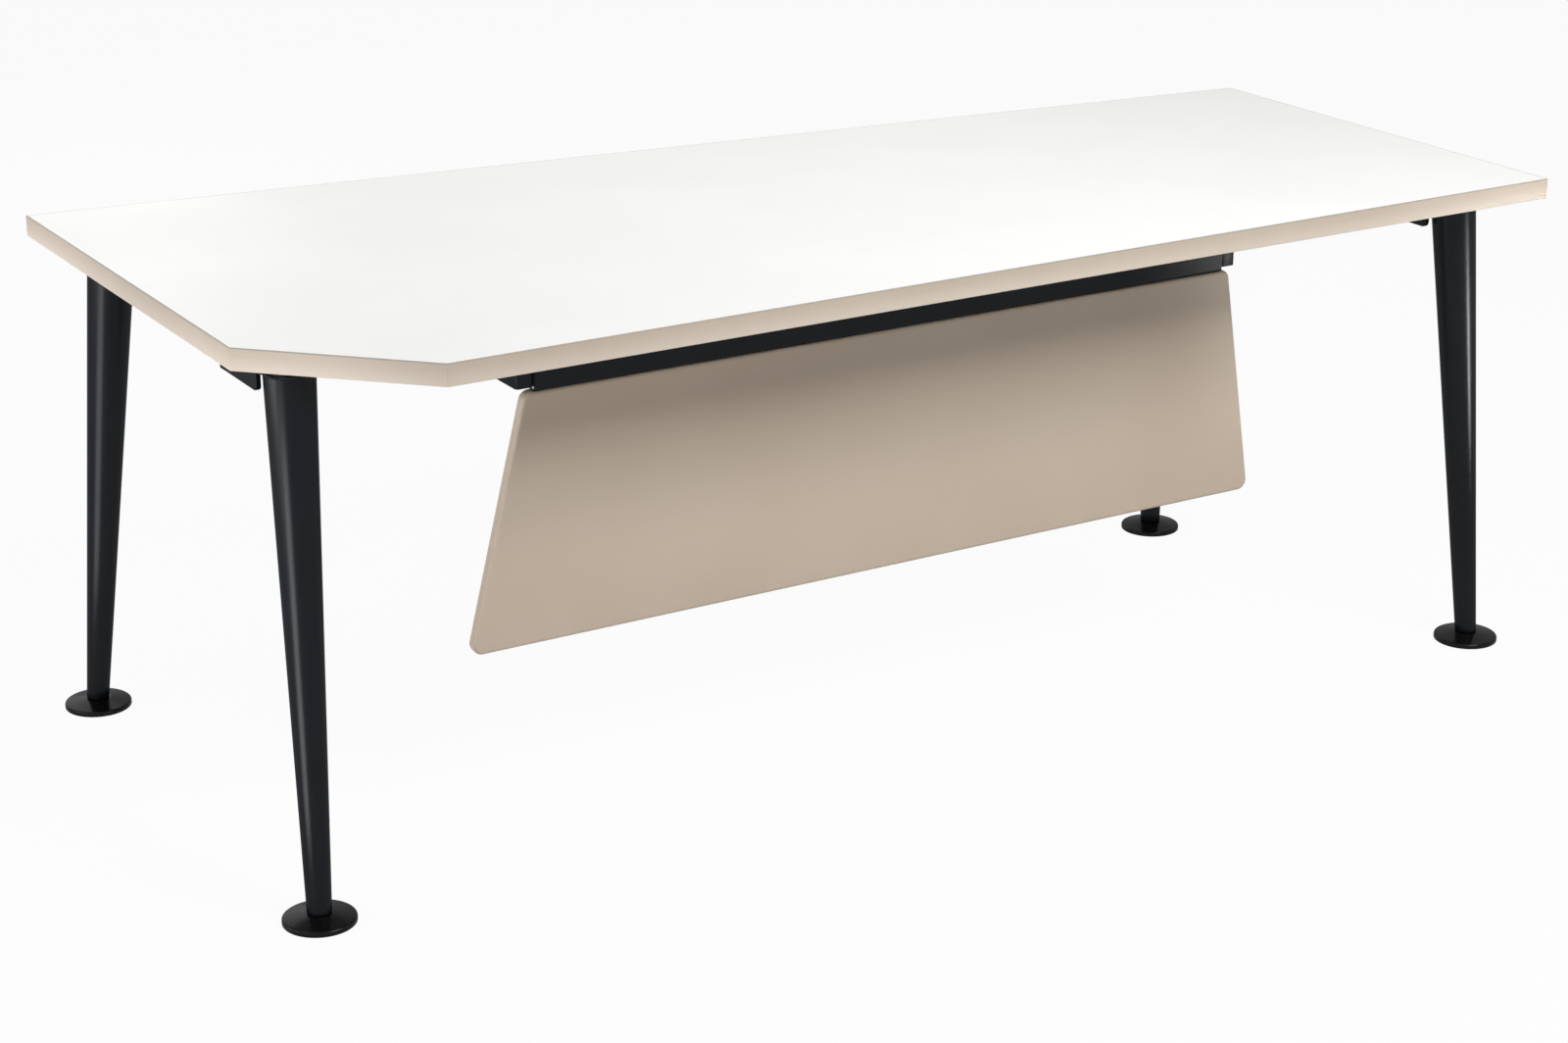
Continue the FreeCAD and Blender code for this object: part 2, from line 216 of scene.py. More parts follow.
# sprayed lacquer: faint clouds in the colour and a fine stipple
lacquer = {"colour": tone(194, 179, 162), "shade": tone(190, 174, 157), "clouds": (3.5, 3.0),
           "cloudStep": (0.3, 0.7), "stipple": (850.0, 2.0), "bump": (0.10, 0.0003),
           "rough": 0.46, "roughVary": 0.08, "shine": 0.35}


def beigeLacquer():
    material, bench = newFinish("beigeLacquer")
    here = bench.place()
    cloud = bench.noise(here, *lacquer["clouds"])
    stipple = bench.noise(here, *lacquer["stipple"])
    shaded = bench.step(cloud, *lacquer["cloudStep"])
    closeFinish(bench, {
        "Base Color": bench.mix(shaded, lacquer["colour"], lacquer["shade"]),
        "Roughness": lacquer["rough"] + lacquer["roughVary"] * stipple,
        "Normal": bench.bump(stipple, *lacquer["bump"]),
        "Specular IOR Level": lacquer["shine"]})
    return material


# powder coat: dull black under a thin satin skin with a fine orange peel
coat = {"colour": tone(9, 13, 18), "faded": tone(12, 16, 21), "clouds": (14.0, 2.0), "peel": (700.0, 2.0),
        "bump": (0.10, 0.00012), "rough": 0.5, "roughVary": 0.2, "skin": 0.12, "skinVary": 0.02,
        "skinIndex": 1.9, "skinRough": 0.28}


def blackCoat():
    material, bench = newFinish("blackCoat")
    here = bench.place()
    peel = bench.noise(here, *coat["peel"])
    cloud = bench.noise(here, *coat["clouds"])
    closeFinish(bench, {
        "Base Color": bench.mix(cloud, coat["colour"], coat["faded"]),
        "Roughness": coat["rough"] + coat["roughVary"] * cloud,
        "Specular IOR Level": 0.0,
        "Coat Weight": coat["skin"] + coat["skinVary"] * cloud,
        "Coat IOR": coat["skinIndex"],
        "Coat Roughness": coat["skinRough"],
        "Normal": bench.bump(peel, *coat["bump"])})
    return material


# glossy black: a light haze, and a skin that is thinner along fine scuffs
gloss = {"colour": tone(11, 11, 12), "worn": tone(17, 17, 18), "haze": (60.0, 4.0),
         "stretch": (160, 900, 400), "scuffs": (1.0, 2.0), "scuffStep": (0.6, 0.75), "scuffDeep": 0.08,
         "bump": (0.02, 0.0004), "rough": 0.5, "roughVary": 0.2, "skin": 0.25, "skinRough": 0.2}


def glossBlack():
    material, bench = newFinish("glossBlack")
    haze = bench.noise(bench.place(), *gloss["haze"])
    scuff = bench.noise(bench.place(gloss["stretch"]), *gloss["scuffs"])
    closeFinish(bench, {
        "Base Color": bench.mix(haze, gloss["colour"], gloss["worn"]),
        "Roughness": gloss["rough"] + gloss["roughVary"] * haze,
        "Specular IOR Level": 0.0,
        "Coat Weight": gloss["skin"] - gloss["scuffDeep"] * bench.step(scuff, *gloss["scuffStep"]),
        "Coat Roughness": gloss["skinRough"],
        "Normal": bench.bump(haze, *gloss["bump"])})
    return material


# rubber: dull black with a dusty grain
rubber = {"colour": tone(30, 30, 30), "dusty": tone(46, 45, 44), "grain": (1100.0, 3.0),
          "bump": (0.25, 0.0002), "rough": 0.72, "roughVary": 0.15}


def soleRubber():
    material, bench = newFinish("soleRubber")
    grain = bench.noise(bench.place(), *rubber["grain"])
    closeFinish(bench, {
        "Base Color": bench.mix(grain, rubber["colour"], rubber["dusty"]),
        "Roughness": rubber["rough"] + rubber["roughVary"] * grain,
        "Normal": bench.bump(grain, *rubber["bump"])})
    return material


# zinc plating: a spangle of bright and dull patches, and the level marks of turning
zinc = {"colour": tone(196, 198, 202), "dull": tone(168, 170, 172), "spangle": (320.0, 3.0),
        "spangleStep": (0.35, 0.7), "stretch": (1, 1, 40), "marks": (120.0, 1.0), "bump": (0.05, 0.0001),
        "rough": 0.3, "roughVary": 0.14}


def zincSteel():
    material, bench = newFinish("zincSteel")
    spangle = bench.noise(bench.place(), *zinc["spangle"])
    marks = bench.noise(bench.place(zinc["stretch"]), *zinc["marks"])
    dulled = bench.step(spangle, *zinc["spangleStep"])
    closeFinish(bench, {
        "Base Color": bench.mix(dulled, zinc["colour"], zinc["dull"]),
        "Metallic": 1.0,
        "Roughness": zinc["rough"] + zinc["roughVary"] * spangle,
        "Normal": bench.bump(marks, *zinc["bump"])})
    return material


finishes = {"top_laminate": whiteLaminate(), "backing_laminate": backingSheet(), "edge_band": creamEdging(),
            "board_core": chipCore(), "panel_finish": beigeLacquer(), "black_coating": blackCoat(),
            "foot_disc": glossBlack(), "foot_rubber": soleRubber(), "plain_steel": zincSteel()}
print("finishes made:", len(finishes))

# every solid from the frame gets the finish of its own slot
for part in frame["record"]["subparts"]:
    slots = nodes[part["node"]].data.materials
    slots.clear()
    slots.append(finishes[part["material_slot"]])
print("frame dressed")


# corner numbers of the quads on a grid: its columns close on themselves, its rows only where asked
def gridQuads(rows, columns, roundRows):
    lastRow = rows if roundRows else rows - 1
    row, column = np.meshgrid(np.arange(lastRow), np.arange(columns), indexing="ij")
    below = (row + 1) % rows
    beside = (column + 1) % columns
    corners = (row * columns + column, row * columns + beside,
               below * columns + beside, below * columns + column)
    return np.stack(corners, -1).reshape(-1, 4)


# how close, in metres, points and the ends of slivers may come before they are merged
merging = {"points": 1e-7, "slivers": 1e-8}


# joins several grids of points into one piece; doubled points at poles and seams are merged
def makePiece(name, grids, slot, body, stands, roundRows=False, crease=38):
    quads = []
    count = 0
    for grid in grids:
        rows, columns = grid.shape[:2]
        quads.append(gridQuads(rows, columns, roundRows) + count)
        count += rows * columns
    points = np.concatenate([grid.reshape(-1, 3) for grid in grids])
    mesh = bpy.data.meshes.new(name)
    mesh.from_pydata(points.tolist(), [], np.concatenate(quads).tolist())
    work = bmesh.new()
    work.from_mesh(mesh)
    bmesh.ops.remove_doubles(work, verts=work.verts, dist=merging["points"])
    bmesh.ops.dissolve_degenerate(work, edges=work.edges, dist=merging["slivers"])
    bmesh.ops.recalc_face_normals(work, faces=work.faces)
    work.to_mesh(mesh)
    work.free()
    mesh.polygons.foreach_set("use_smooth", np.ones(len(mesh.polygons), dtype=bool))
    mesh.set_sharp_from_angle(angle=math.radians(crease))
    mesh.materials.append(finishes[slot])
    piece = bpy.data.objects.new(name, mesh)
    scene.collection.objects.link(piece)
    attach(piece, body)
    if stands:
        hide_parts(*stands)


# angles once round, open at the end so that the last column meets the first
def roundAngles(count):
    return np.linspace(0, 2 * np.pi, count, endpoint=False)


# profile (radius, height) turned about an upright line: x = r cos a, y = r sin a, z = h
def turned(profile, count):
    radius, height = np.array(profile, dtype=float).T[:, :, None]
    angle = roundAngles(count)
    return np.stack([radius * np.cos(angle), radius * np.sin(angle), height + 0 * angle], -1)


# rows of (radius, height), each one number or one number for every angle, as two whole arrays
def ringRows(rows, angle):
    return [np.stack([row[k] + 0 * angle for row in rows]) for k in (0, 1)]


# arc of a profile: centre plus radius times (cos, sin) from one angle to another, in degrees
def arc(centre, radius, start, end, count):
    angle = np.radians(np.linspace(start, end, count))
    return [(centre[0] + radius * c, centre[1] + radius * s) for c, s in zip(np.cos(angle), np.sin(angle))]


# closed outline with round corners: each corner becomes an arc that touches both its sides; a corner that
# turns the other way gets its arc from the outer side
def roundOutline(corners, radii, count):
    here = np.array(corners, dtype=float)
    toBefore = np.roll(here, 1, 0) - here
    toAfter = np.roll(here, -1, 0) - here
    toBefore /= np.linalg.norm(toBefore, axis=1)[:, None]
    toAfter /= np.linalg.norm(toAfter, axis=1)[:, None]
    turn = np.sign(toAfter[:, 0] * toBefore[:, 1] - toAfter[:, 1] * toBefore[:, 0])
    half = np.arccos(np.clip((toBefore * toAfter).sum(1), -1, 1)) / 2
    inward = toBefore + toAfter
    inward /= np.linalg.norm(inward, axis=1)[:, None]
    radius = np.array(radii, dtype=float)
    centre = here + inward * (radius / np.sin(half))[:, None]
    across = np.stack([inward[:, 1], -inward[:, 0]], -1)
    swing = np.linspace(-1, 1, count)[None, :] * (turn * (np.pi / 2 - half))[:, None]
    ray = np.sin(swing)[..., None] * across[:, None] - np.cos(swing)[..., None] * inward[:, None]
    points = centre[:, None] + radius[:, None, None] * ray
    return points.reshape(-1, 2), (turn[:, None, None] * ray).reshape(-1, 2)


# rows round a board's rim and over each face; apron is where a face ends, in rim radii from the outline
rim = {"rows": 6, "faceRows": 3, "apron": 1.25}


# board on an outline in (u, v): rows run from the middle of its front, over a rim rounded by soft,
# to the middle of its back; place turns (u, v, depth) into points
def board(outline, outward, thick, soft, place):
    lean = np.radians(np.linspace(0, 90, rim["rows"]))
    inset = np.concatenate([[rim["apron"] * soft], soft * (1 - np.sin(lean))])
    depth = np.concatenate([[0], soft * (1 - np.cos(lean))])
    inset = np.concatenate([inset, inset[::-1]])
    depth = np.concatenate([depth, thick - depth[::-1]])
    edge = outline[None] - inset[:, None, None] * outward[None]
    middle = outline.mean(0)
    share = np.linspace(0, 1, rim["faceRows"], endpoint=False)[:, None, None]
    front = middle + share * (edge[:1] - middle)
    back = middle + share[::-1] * (edge[-1:] - middle)
    flat = np.concatenate([front, edge, back])
    depth = np.concatenate([np.zeros(len(front)), depth, np.full(len(back), thick)])
    return place(flat[..., 0], flat[..., 1], depth[:, None] + 0 * flat[..., 0])


# rows round each corner of a ribbon's section; drawIn is how far the two rows beside a closed end narrow,
# in edge radii
ribbon = {"cornerRows": 5, "drawIn": (2, 0.6)}


# ribbon of sheet: a rounded rectangle (thickness by height) carried along a line in plan, ends closed
def foldedSheet(path, aside, thick, low, high, soft):
    tall = (high - low) / 2
    corners = [(-thick / 2, -tall), (thick / 2, -tall), (thick / 2, tall), (-thick / 2, tall)]
    ring = roundOutline(corners, [soft] * 4, ribbon["cornerRows"])[0]
    tip = np.array((0, *(1 - drawn * soft / thick for drawn in ribbon["drawIn"])))
    shrink = np.concatenate([tip, np.ones(len(path) - 2 * len(tip)), tip[::-1]])
    off = shrink[:, None] * ring[None, :, 0]
    rise = np.where(shrink[:, None] > 0, ring[None, :, 1], 0)
    plan = path[:, None] + off[..., None] * aside[:, None]
    return np.concatenate([plan, (rise + (low + high) / 2)[..., None]], -1)


# legs, metres: each place is where the foot stands and where the head meets the top
leg = {"footZ": 0.0134, "headZ": 0.710, "cutZ": 0.705, "footR": 0.0162, "headR": 0.0335, "wall": 0.002,
       "lip": 0.002, "lipRows": 5, "lipEnd": 2.5, "around": 96, "along": 60,
       "places": {"back_left": ((-0.96025, 0.42425), (-0.90675, 0.37075)),
                  "front_left": ((-0.96025, -0.396014), (-0.92105, -0.298614)),
                  "front_right": ((0.96075, -0.43175), (0.91275, -0.38375)),
                  "back_right": ((0.84875, 0.22925), (0.80075, 0.18125))}}


# leaning cone cut level: on each ray of the cone, go along the axis until the wanted height is reached
def legSkin(foot, head, height, skin, angle):
    start = np.array((*foot, leg["footZ"]))
    end = np.array((*head, leg["headZ"]))
    length = np.linalg.norm(end - start)
    axis = (end - start) / length
    side = np.cross(axis, (0, 0, 1))
    side /= np.linalg.norm(side)
    other = np.cross(axis, side)
    ray = np.cos(angle)[:, None] * side + np.sin(angle)[:, None] * other
    slope = (leg["headR"] - leg["footR"]) / length
    rise = height[:, None] - start[2] - (leg["footR"] - skin)[:, None] * ray[None, :, 2]
    along = rise / (axis[2] + slope * ray[None, :, 2])
    radius = (leg["footR"] - skin)[:, None] + slope * along
    return start + along[..., None] * axis + radius[..., None] * ray


# tube wall: up the outer skin from a rounded lip, over the head, down the inner skin
def legTube(foot, head):
    low, cut, lip, wall = leg["footZ"], leg["cutZ"], leg["lip"], leg["wall"]
    lean = np.radians(np.linspace(0, 90, leg["lipRows"]))
    rising = np.linspace(low + leg["lipEnd"] * lip, cut, leg["along"])
    height = np.concatenate([low + lip * (1 - np.cos(lean)), rising, [cut, low]])
    skin = np.concatenate([lip * (1 - np.sin(lean)), 0 * rising, [wall, wall]])
    return legSkin(foot, head, height, skin, roundAngles(leg["around"]))


# weld run: a circle carried along a line, its radius swelling once for every ripple
weld = {"size": 0.0021, "ripple": 0.0024, "depth": 0.16, "around": 12, "ringRows": 560, "lineRows": 500}
alongX = np.array([(1.0, 0.0, 0.0)])
alongZ = np.array([(0.0, 0.0, 1.0)])


def weldRun(line, outA, outB, closed):
    step = np.linalg.norm(np.roll(line, -1, 0) - line, axis=1)
    whole = step.sum() if closed else step[:-1].sum()
    far = np.concatenate([[0], np.cumsum(step)[:-1]])
    ripples = np.round(whole / weld["ripple"])
    swell = 1 + weld["depth"] * np.cos(2 * np.pi * ripples * far / whole)
    if not closed:
        swell[[0, -1]] = 0
    angle = roundAngles(weld["around"])[None, :, None]
    return line[:, None] + weld["size"] * swell[:, None, None] * (
        np.cos(angle) * outA[:, None] + np.sin(angle) * outB[:, None])


for name, (foot, head) in leg["places"].items():
    makePiece("leg_" + name, [legTube(foot, head)], "black_coating", "desk_frame", ["leg_tube_" + name],
              roundRows=True)
    ring = legSkin(foot, head, np.array([leg["cutZ"]]), np.zeros(1), roundAngles(weld["ringRows"]))[0]
    out = ring - ring.mean(0)
    out /= np.linalg.norm(out, axis=1)[:, None]
    makePiece("leg_weld_" + name, [weldRun(ring, out, alongZ, True)], "black_coating", "desk_frame", [],
              roundRows=True)
print("legs made")


# levelling foot: the disc, the rubber under it and the threaded stud
disc = {"rimR": 0.0485, "rimZ": 0.005, "rimRound": 0.003, "rimRows": 9, "toeRound": 0.0006, "toeRows": 4,
        "floorGap": 0.0004, "hubR": 0.0185, "hubZ": 0.013, "hubEdge": (0.001, 0.00004),
        "coneRows": (0.04, 0.3, 0.6, 0.95), "boreR": 0.00505, "boreEdge": 0.0004, "pocketR": 0.0093,
        "pocketZ": 0.006, "soleZ": 0.002, "recessR": 0.0421, "around": 144, "crease": 30}
sole = {"outer": 0.042, "inner": 0.006, "top": 0.002, "edge": (0.0006, 0.0005), "groove": 0.0007,
        "rings": 5, "grooveSlope": 4, "grooveStart": 2.4, "rows": 121, "around": 96}
stud = {"headR": 0.009, "headLow": 0.0023, "headHigh": 0.0057, "headEdge": 0.0004, "keyAcross": 0.005,
        "keyDeep": 0.0022, "keyEdge": 0.0003, "keyMouth": 1.08, "shankR": 0.005, "tipZ": 0.0504,
        "taper": 0.0012, "taperSlope": 0.6, "pitch": 0.0015, "threadDeep": 0.00081, "veeSlope": 1.15,
        "veeCrest": 0.07, "around": 36, "along": 300, "crease": 30}


# disc: floor gap, sole recess, stud pocket, bore, hub, then the cone down to the round rim, which it
# touches where the line from the hub meets the rim's circle
def discProfile():
    hubR, hubZ, boreR, boreEdge = disc["hubR"], disc["hubZ"], disc["boreR"], disc["boreEdge"]
    rimRound, toeRound, low = disc["rimRound"], disc["toeRound"], disc["floorGap"]
    edgeIn, edgeDown = disc["hubEdge"]
    rimCentre = (disc["rimR"] - rimRound, disc["rimZ"])
    toe = (disc["rimR"] - toeRound, low + toeRound)
    run = (rimCentre[0] - hubR, rimCentre[1] - hubZ)
    slope = math.atan2(run[1], run[0]) + math.asin(rimRound / math.hypot(*run))
    meet = (rimCentre[0] - math.sin(slope) * rimRound, rimCentre[1] + math.cos(slope) * rimRound)
    cone = [(hubR + s * (meet[0] - hubR), hubZ + s * (meet[1] - hubZ)) for s in disc["coneRows"]]
    return [(disc["recessR"], low), (disc["recessR"], disc["soleZ"]), (disc["pocketR"], disc["soleZ"]),
            (disc["pocketR"], disc["pocketZ"]), (boreR, disc["pocketZ"]), (boreR, hubZ - boreEdge),
            (boreR + boreEdge, hubZ), (hubR - edgeIn, hubZ), (hubR, hubZ - edgeDown), *cone,
            *arc(rimCentre, rimRound, 90 + math.degrees(slope), 0, disc["rimRows"]),
            *arc(toe, toeRound, 0, -90, disc["toeRows"])]


# rubber ring, its lower face cut by round grooves: it rises wherever a cosine of the radius is low enough
def soleProfile():
    outer, inner, top = sole["outer"], sole["inner"], sole["top"]
    edgeIn, edgeUp = sole["edge"]
    radius = np.linspace(outer - edgeIn, inner + edgeIn, sole["rows"])
    wave = np.cos(2 * np.pi * sole["rings"] * np.linspace(0, 1, sole["rows"]))
    depth = sole["groove"] * np.clip(-sole["grooveSlope"] * wave - sole["grooveStart"], 0, 1)
    return [(outer, top), (outer, edgeUp), *zip(radius, depth), (inner, edgeUp), (inner, top)]


# distance from the middle of a hexagon to its edge at each angle
def hexagon(across, angle):
    return across / 2 / np.cos((angle + np.pi / 6) % (np.pi / 3) - np.pi / 6)


# stud: key socket, head, then the shank, whose radius falls in a vee that winds up by one pitch a turn
def studGrid():
    angle = roundAngles(stud["around"])
    key = hexagon(stud["keyAcross"], angle)
    low, high, across, edge = stud["headLow"], stud["headHigh"], stud["headR"], stud["headEdge"]
    keyEnd = low + stud["keyDeep"]
    rootR = stud["shankR"] - stud["threadDeep"]
    headR, headZ = ringRows([
        (0, keyEnd), (key, keyEnd), (key, low + stud["keyEdge"]), (stud["keyMouth"] * key, low),
        (across - edge, low), (across, low + edge), (across, high - edge), (across - edge, high),
        (rootR, high)], angle)
    z = np.linspace(high, stud["tipZ"], stud["along"])[:, None] + 0 * angle
    winding = (z / stud["pitch"] - angle / (2 * np.pi)) % 1
    vee = np.clip(np.abs(2 * winding - 1) * stud["veeSlope"] - stud["veeCrest"], 0, 1)
    shank = stud["shankR"] - stud["threadDeep"] * vee
    tipTaper = rootR + np.minimum(stud["tipZ"] - z, stud["taper"]) * stud["taperSlope"]
    headTaper = rootR + (z - high) * stud["taperSlope"]
    shank = np.minimum(np.minimum(shank, tipTaper), headTaper)
    tipR, tipZ = ringRows([(0, stud["tipZ"])], angle)
    radius = np.concatenate([headR, shank, tipR])
    height = np.concatenate([headZ, z, tipZ])
    return np.stack([radius * np.cos(angle), radius * np.sin(angle), height], -1)


for name, (foot, head) in leg["places"].items():
    stand = np.array((*foot, 0.0))
    makePiece("disc_" + name, [turned(discProfile(), disc["around"]) + stand], "foot_disc", "foot_" + name,
              ["foot_pad_" + name], roundRows=True, crease=disc["crease"])
    makePiece("sole_" + name, [turned(soleProfile(), sole["around"]) + stand], "foot_rubber",
              "foot_" + name, ["foot_sole_" + name], roundRows=True)
    makePiece("stud_" + name, [studGrid() + stand], "plain_steel", "stud_" + name, ["foot_stud_" + name],
              crease=stud["crease"])
print("feet made")


# leg brackets: plate round the leg's head with a tail, and a rib welded down one side of the tail; a way
# of 1 points the tail to +y, of -1 to -y
bracket = {"half": 0.040, "tail": 0.132, "nose": 0.0335, "noseSlack": 0.0001, "thick": 0.005,
           "underside": 0.710, "soft": 0.0008, "corner": 0.002, "cornerRows": 10, "ribThick": 0.007,
           "ribStart": 0.012, "ribRound": 0.008, "ribCorner": 0.0015, "ribRows": 8, "sunk": 0.001,
           "weldShort": 0.004, "screwsAside": (-0.022, 0.022), "screwsAlong": (0.052, 0.112),
           "drops": {"back_left": 0.050, "front_left": 0.030, "front_right": 0.050, "back_right": 0.050},
           "ways": {"back_left": -1, "front_left": 1, "front_right": 1, "back_right": -1}}


# two boards: the plate lies level on an outline with a round nose, the rib hangs on a rectangle with one
# large round corner
def bracketGrids(head, way, drop):
    half, tail, nose, thick = bracket["half"], bracket["tail"], bracket["nose"], bracket["thick"]
    corner, noseR = bracket["corner"], nose - bracket["noseSlack"]
    corners = [(-nose, 0), (-nose, -nose), (nose, -nose), (nose, 0),
               (half, 0), (half, tail), (-half, tail), (-half, 0)]
    radii = [corner, noseR, noseR, corner, corner, corner, corner, corner]
    outline, outward = roundOutline(corners, radii, bracket["cornerRows"])

    def flatOnTop(u, v, depth):
        return np.stack([head[0] + way * u, head[1] + way * v, bracket["underside"] - depth], -1)

    def hanging(u, v, depth):
        return np.stack([head[0] + way * (depth - half), head[1] + way * u, bracket["underside"] + v], -1)

    ribStart, ribTop = bracket["ribStart"], bracket["sunk"] - thick
    ribCorners = [(ribStart, -drop), (tail, -drop), (tail, ribTop), (ribStart, ribTop)]
    ribRadii = [bracket["ribRound"]] + [bracket["ribCorner"]] * 3
    ribOutline, ribOutward = roundOutline(ribCorners, ribRadii, bracket["ribRows"])
    plate = board(outline, outward, thick, bracket["soft"], flatOnTop)
    rib = board(ribOutline, ribOutward, bracket["ribThick"], bracket["soft"], hanging)
    return plate, rib


# the weld runs along the inner foot of the rib, a little short of both its ends
def ribWeld(head, way):
    short, count = bracket["weldShort"], weld["lineRows"]
    along = np.linspace(bracket["ribStart"] + short, bracket["tail"] - short, count)
    x = np.full(count, head[0] - way * (bracket["half"] - bracket["ribThick"]))
    z = np.full(count, bracket["underside"] - bracket["thick"])
    return weldRun(np.stack([x, head[1] + way * along, z], -1), alongX, alongZ, False)


for name, (foot, head) in leg["places"].items():
    way = bracket["ways"][name]
    makePiece("bracket_" + name, bracketGrids(head, way, bracket["drops"][name]), "black_coating",
              "desk_frame", ["leg_bracket_" + name])
    makePiece("rib_weld_" + name, [ribWeld(head, way)], "black_coating", "desk_frame", [])
print("brackets made")


# modesty panel: a trapezoid with round corners, leaning so that its foot is further back
panel = {"origin": (0.00875, -0.25625, 0.6063), "tilt": 3.84, "topHalf": 0.5865, "bottomHalf": 0.665,
         "tall": 0.3665, "thick": 0.018, "cornerRound": 0.015, "cornerRows": 12, "soft": 0.005, "crease": 50}


# u runs along the panel, v up its face and depth through it, both turned by the tilt about its top edge
def leaning(u, v, depth):
    lean = math.radians(panel["tilt"])
    x, y, z = panel["origin"]
    return np.stack([x + u, y + depth * math.cos(lean) - v * math.sin(lean),
                     z + depth * math.sin(lean) + v * math.cos(lean)], -1)


corners = [(-panel["bottomHalf"], -panel["tall"]), (panel["bottomHalf"], -panel["tall"]),
           (panel["topHalf"], 0), (-panel["topHalf"], 0)]
outline, outward = roundOutline(corners, [panel["cornerRound"]] * 4, panel["cornerRows"])
makePiece("modesty_panel", [board(outline, outward, panel["thick"], panel["soft"], leaning)], "panel_finish",
          "desk_frame", ["panel_board"], crease=panel["crease"])
print("panel made")


# rail hangers: sheet folded round three sides, a floor in it and a flange under the top; tips are the
# distances of the fold's end rows from the back
hanger = {"middle": 0.00875, "inner": 0.5715, "wide": 0.0265, "front": -0.25425, "deep": 0.062,
          "low": 0.6123, "plateLow": 0.705, "underside": 0.710, "sheet": 0.003, "soft": 0.0008,
          "bend": 0.0035, "bendRows": 7, "tips": (0, 0, 0.0004, 0.0012, 0.002), "sunk": 0.001,
          "floorIn": 0.0015, "floorUp": 0.0002, "floorRound": 0.002, "flange": 0.030,
          "flangeRound": 0.004, "cornerRows": 5, "screwsApart": (-0.015, 0.015)}


# line of the fold in plan, with the direction across it: back to front, along the front, front to back
def foldLine(side):
    half = hanger["sheet"] / 2
    near = hanger["middle"] + side * (hanger["inner"] + half)
    far = hanger["middle"] + side * (hanger["inner"] + hanger["wide"] - half)
    front = hanger["front"] + half
    back = hanger["front"] + hanger["deep"]
    bend, tips = hanger["bend"], hanger["tips"]
    swing = np.radians(np.linspace(0, 90, hanger["bendRows"]))
    cos, sin = np.cos(swing), np.sin(swing)
    first = np.stack([near + side * bend * (1 - cos), front + bend * (1 - sin)], -1)
    second = np.stack([far - side * bend * (1 - sin), front + bend * (1 - cos)], -1)
    start = [(near, back - tip) for tip in tips]
    end = [(far, back - tip) for tip in tips[::-1]]
    firstAside = np.stack([-side * cos, -sin], -1)
    secondAside = np.stack([side * sin, -cos], -1)
    endAside = np.tile((side, 0.0), (len(tips), 1))
    path = np.concatenate([start, first, second, end])
    return path, np.concatenate([-endAside, firstAside, secondAside, endAside])


# level board on a rectangle between two corners, which may come in either order along x
def levelBoard(xEnds, yEnds, zEnds, radius):
    x0, x1 = sorted(xEnds)
    y0, y1 = yEnds
    low, high = zEnds
    corners = [(x0, y0), (x1, y0), (x1, y1), (x0, y1)]
    outline, outward = roundOutline(corners, [radius] * 4, hanger["cornerRows"])
    return board(outline, outward, high - low, hanger["soft"],
                 lambda u, v, depth: np.stack([u, v, high - depth], -1))


# the wall is the fold's ribbon, the base and the flange are level boards inside it and under the top
def hangerGrids(side):
    low, plateLow, sheet, floorIn = hanger["low"], hanger["plateLow"], hanger["sheet"], hanger["floorIn"]
    front = hanger["front"]
    back = front + hanger["deep"]
    near = hanger["middle"] + side * hanger["inner"]
    far = near + side * hanger["wide"]
    end = far + side * hanger["flange"]
    path, aside = foldLine(side)
    wall = foldedSheet(path, aside, sheet, low, plateLow + hanger["sunk"], hanger["soft"])
    base = levelBoard((near + side * floorIn, far - side * floorIn), (front + floorIn, back),
                      (low + hanger["floorUp"], low + sheet), hanger["floorRound"])
    flange = levelBoard((near, end), (front, back), (plateLow, hanger["underside"]), hanger["flangeRound"])
    return wall, base, flange


for side, hand in ((-1, "left"), (1, "right")):
    makePiece("hanger_" + hand, hangerGrids(side), "black_coating", "desk_frame", ["rail_hanger_" + hand])
print("hangers made")


# wood screws with round heads, driven upwards; the rows of the head are (from, to, count) in shares of
# its radius, and the dome falls off outside its flat
woodScrew = {"headR": 0.00475, "headTall": 0.0028, "flat": 0.35, "fall": 0.75, "innerRows": (0, 0.8, 18),
             "outerRows": (0.83, 1, 8), "seat": 0.705, "shankR": 0.0025, "end": 0.732, "point": 0.003,
             "slot": 0.0007, "slotSharp": 4, "slotReach": 0.0026, "reachSharp": 8, "slotDeep": 0.0015,
             "around": 40}


# the cross is pressed into the head where both the radius and the distance to the nearer axis are small
def woodScrewGrid():
    angle = roundAngles(woodScrew["around"])
    headR, shankR, seat, flat = woodScrew["headR"], woodScrew["shankR"], woodScrew["seat"], woodScrew["flat"]
    share = np.concatenate([np.linspace(*woodScrew["innerRows"]), np.linspace(*woodScrew["outerRows"])])
    radius = share[:, None] * headR + 0 * angle
    edge = np.clip((radius / headR - flat) / (1 - flat), 0, 1)
    dome = woodScrew["headTall"] * np.sqrt(1 - woodScrew["fall"] * edge ** 2)
    nearer = np.minimum(np.abs(radius * np.cos(angle)), np.abs(radius * np.sin(angle)))
    cross = np.exp(-(nearer / woodScrew["slot"]) ** woodScrew["slotSharp"])
    cross = cross * np.exp(-(radius / woodScrew["slotReach"]) ** woodScrew["reachSharp"])
    tip = seat - woodScrew["end"]
    shankRows, shankTall = ringRows([
        (headR, 0), (shankR, 0), (shankR, tip + woodScrew["point"]), (0, tip)], angle)
    radius = np.concatenate([radius, shankRows])
    tall = np.concatenate([dome - woodScrew["slotDeep"] * cross, shankTall])
    return np.stack([radius * np.cos(angle), radius * np.sin(angle), seat - tall], -1)


